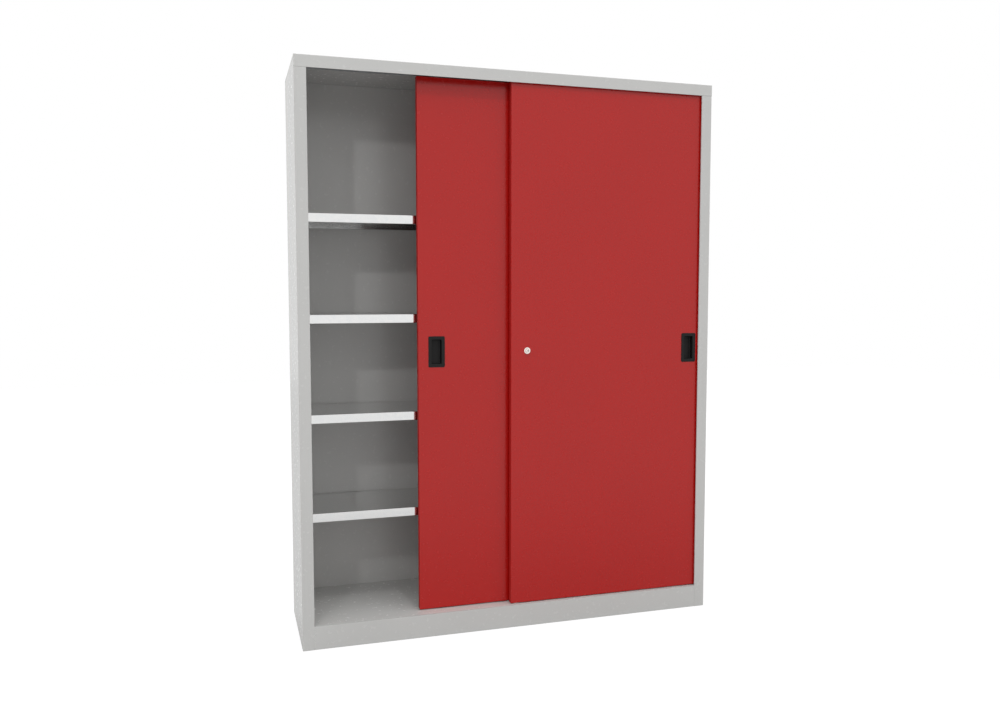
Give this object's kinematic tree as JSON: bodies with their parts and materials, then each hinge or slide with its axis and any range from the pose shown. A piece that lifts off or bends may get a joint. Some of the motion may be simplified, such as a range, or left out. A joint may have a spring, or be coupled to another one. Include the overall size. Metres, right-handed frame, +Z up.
{
  "type": "sliding door cabinet",
  "caption": "Tall steel storage cabinet with two bypassing sliding doors, flush pulls, a push lock and adjustable galvanised shelves.",
  "frame": {"origin": "the middle of the base, on the ground", "axes": "+Z up, +X to the right seen from the front, -Y to the front where the doors are"},
  "size_m": [1.5, 0.4, 1.95],
  "materials": {
    "grey_paint": "light grey powder coat, semi-gloss",
    "red_paint": "red powder coat, semi-gloss",
    "galvanised_steel": "galvanised sheet, bright",
    "zinc_plate": "zinc plated",
    "black_plastic": "moulded, fine grain",
    "nylon": "moulded, smooth",
    "nickel": "polished nickel plate",
    "rubber": "moulded, matt"
  },
  "bodies": {
    "carcass": {"floor_guide": "nylon", "floor_panel": "grey_paint", "front_plinth": "grey_paint", "left_front_buffer": "rubber", "left_front_upright": "galvanised_steel", "left_rear_buffer": "rubber", "left_rear_upright": "galvanised_steel", "left_side_panel": "grey_paint", "rear_panel": "grey_paint", "rear_plinth": "grey_paint", "right_front_buffer": "rubber", "right_front_upright": "galvanised_steel", "right_rear_buffer": "rubber", "right_rear_upright": "galvanised_steel", "right_side_panel": "grey_paint", "shelf_1": "galvanised_steel", "shelf_1_left_front_clip": "zinc_plate", "shelf_1_left_rear_clip": "zinc_plate", "shelf_1_right_front_clip": "zinc_plate", "shelf_1_right_rear_clip": "zinc_plate", "shelf_2": "galvanised_steel", "shelf_2_left_front_clip": "zinc_plate", "shelf_2_left_rear_clip": "zinc_plate", "shelf_2_right_front_clip": "zinc_plate", "shelf_2_right_rear_clip": "zinc_plate", "shelf_3": "galvanised_steel", "shelf_3_left_front_clip": "zinc_plate", "shelf_3_left_rear_clip": "zinc_plate", "shelf_3_right_front_clip": "zinc_plate", "shelf_3_right_rear_clip": "zinc_plate", "shelf_4": "galvanised_steel", "shelf_4_left_front_clip": "zinc_plate", "shelf_4_left_rear_clip": "zinc_plate", "shelf_4_right_front_clip": "zinc_plate", "shelf_4_right_rear_clip": "zinc_plate", "top_panel": "grey_paint", "upper_track": "zinc_plate"},
    "front_door": {"front_door_guide_channel": "galvanised_steel", "front_door_left_hanger": "zinc_plate", "front_door_panel": "red_paint", "front_door_pull": "black_plastic", "front_door_right_hanger": "zinc_plate", "front_door_stiffener": "galvanised_steel", "lock_housing": "nickel", "lock_nut": "zinc_plate"},
    "rear_door": {"rear_door_guide_channel": "galvanised_steel", "rear_door_left_hanger": "zinc_plate", "rear_door_panel": "red_paint", "rear_door_pull": "black_plastic", "rear_door_right_hanger": "zinc_plate", "rear_door_stiffener": "galvanised_steel", "lock_catch": "zinc_plate"},
    "lock_plunger": {"lock_plunger": "nickel"},
    "lock_plug": {"lock_plug": "nickel"},
    "front_left_roller": {"front_door_left_roller": "nylon"},
    "front_right_roller": {"front_door_right_roller": "nylon"},
    "rear_left_roller": {"rear_door_left_roller": "nylon"},
    "rear_right_roller": {"rear_door_right_roller": "nylon"}
  },
  "joints": [
    {"name": "front_door_slide", "type": "slide", "parent": "carcass", "child": "front_door", "axis": [1, 0, 0], "range_m": [-0.72, 0]},
    {"name": "rear_door_slide", "type": "slide", "parent": "carcass", "child": "rear_door", "axis": [1, 0, 0], "range_m": [-0.396, 0.324]},
    {"name": "lock_push", "type": "slide", "parent": "front_door", "child": "lock_plunger", "axis": [0, 1, 0], "range_m": [0, 0.0075]},
    {"name": "lock_turn", "type": "hinge", "parent": "lock_plunger", "child": "lock_plug", "pos_m": [0.0403, -0.19, 0.9883], "axis": [0, 1, 0], "range_deg": [0, 90]},
    {"name": "front_left_roller_spin", "type": "hinge", "parent": "front_door", "child": "front_left_roller", "pos_m": [0.051, -0.178, 1.9325], "axis": [0, 1, 0], "range_deg": [-4130, 5]},
    {"name": "front_right_roller_spin", "type": "hinge", "parent": "front_door", "child": "front_right_roller", "pos_m": [0.669, -0.178, 1.9325], "axis": [0, 1, 0], "range_deg": [-4130, 5]},
    {"name": "rear_left_roller_spin", "type": "hinge", "parent": "rear_door", "child": "rear_left_roller", "pos_m": [-0.273, -0.144, 1.9325], "axis": [0, 1, 0], "range_deg": [-2275, 1860]},
    {"name": "rear_right_roller_spin", "type": "hinge", "parent": "rear_door", "child": "rear_right_roller", "pos_m": [0.345, -0.144, 1.9325], "axis": [0, 1, 0], "range_deg": [-2275, 1860]}
  ],
  "couplings": [
    {"joint": "front_left_roller_spin", "follows": "front_door_slide", "rad_per_m": 100},
    {"joint": "front_right_roller_spin", "follows": "front_door_slide", "rad_per_m": 100},
    {"joint": "rear_left_roller_spin", "follows": "rear_door_slide", "rad_per_m": 100},
    {"joint": "rear_right_roller_spin", "follows": "rear_door_slide", "rad_per_m": 100}
  ]
}
